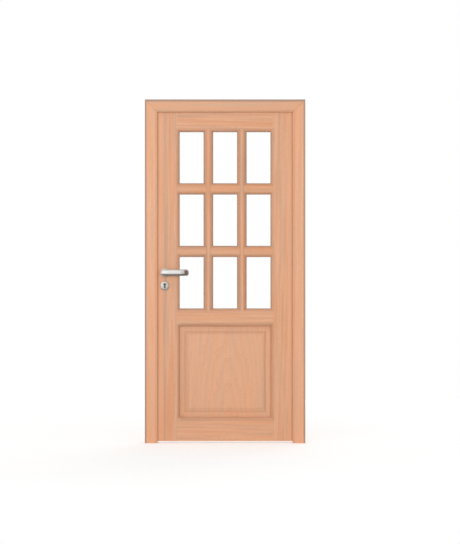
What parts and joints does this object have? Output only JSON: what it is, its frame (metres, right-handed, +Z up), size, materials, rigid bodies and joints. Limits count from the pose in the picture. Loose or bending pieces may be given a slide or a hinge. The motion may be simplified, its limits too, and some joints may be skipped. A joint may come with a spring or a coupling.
{
  "type": "half-glazed timber exterior door",
  "caption": "Half-glazed timber entrance door in a mitred frame, with moulded glazing bars, a raised panel below, barrel hinges and a lever handle on a round rose.",
  "frame": {"origin": "on the outer edge of the hinge jamb, at its foot and mid-depth of the frame", "axes": "+X out of the hinge jamb into the wall, +Y into the building, +Z up"},
  "size_m": [0.98, 0.185, 2.1],
  "materials": {
    "timber": "clear satin varnish",
    "clear_glass": "clear",
    "satin_steel": "satin",
    "hinge_steel": "plated",
    "seal_rubber": "matt",
    "spacer_aluminium": "satin"
  },
  "bodies": {
    "frame": {"hinge_jamb": "timber", "lock_jamb": "timber", "frame_head": "timber", "frame_seal": "seal_rubber", "strike_plate": "satin_steel", "hinge_knuckles_lower": "hinge_steel"},
    "leaf": {"lock_stile": "timber", "hinge_stile": "timber", "top_rail": "timber", "middle_rail": "timber", "bottom_rail": "timber", "glazing_bar_left": "timber", "glazing_bar_right": "timber", "glazing_bar_upper": "timber", "glazing_bar_lower": "timber", "glazing_beads_upright": "timber", "glazing_beads_level": "timber", "panel_beads_upright": "timber", "panel_beads_level": "timber", "raised_panel": "timber", "outer_panes": "clear_glass", "inner_panes": "clear_glass", "pane_spacers": "spacer_aluminium", "roses": "satin_steel", "escutcheons": "satin_steel", "lock_forend": "satin_steel", "latch_bolt": "satin_steel", "dead_bolt": "satin_steel", "lock_cylinder": "satin_steel", "hinge_knuckles_upper": "hinge_steel"},
    "lever": {"lever_outside": "satin_steel", "lever_inside": "satin_steel", "lever_spindle": "satin_steel"}
  },
  "joints": [
    {"name": "leaf_swing", "type": "hinge", "parent": "frame", "child": "leaf", "pos_m": [-0.028, 0.049, 1.05], "axis": [0, 0, -1], "range_deg": [0, 110]},
    {"name": "lever_turn", "type": "hinge", "parent": "leaf", "child": "lever", "pos_m": [-0.859, 0.023, 1.042], "axis": [0, 1, 0], "range_deg": [0, 40], "stiffness_Nm_per_rad": 2, "springref_deg": -22.92}
  ]
}
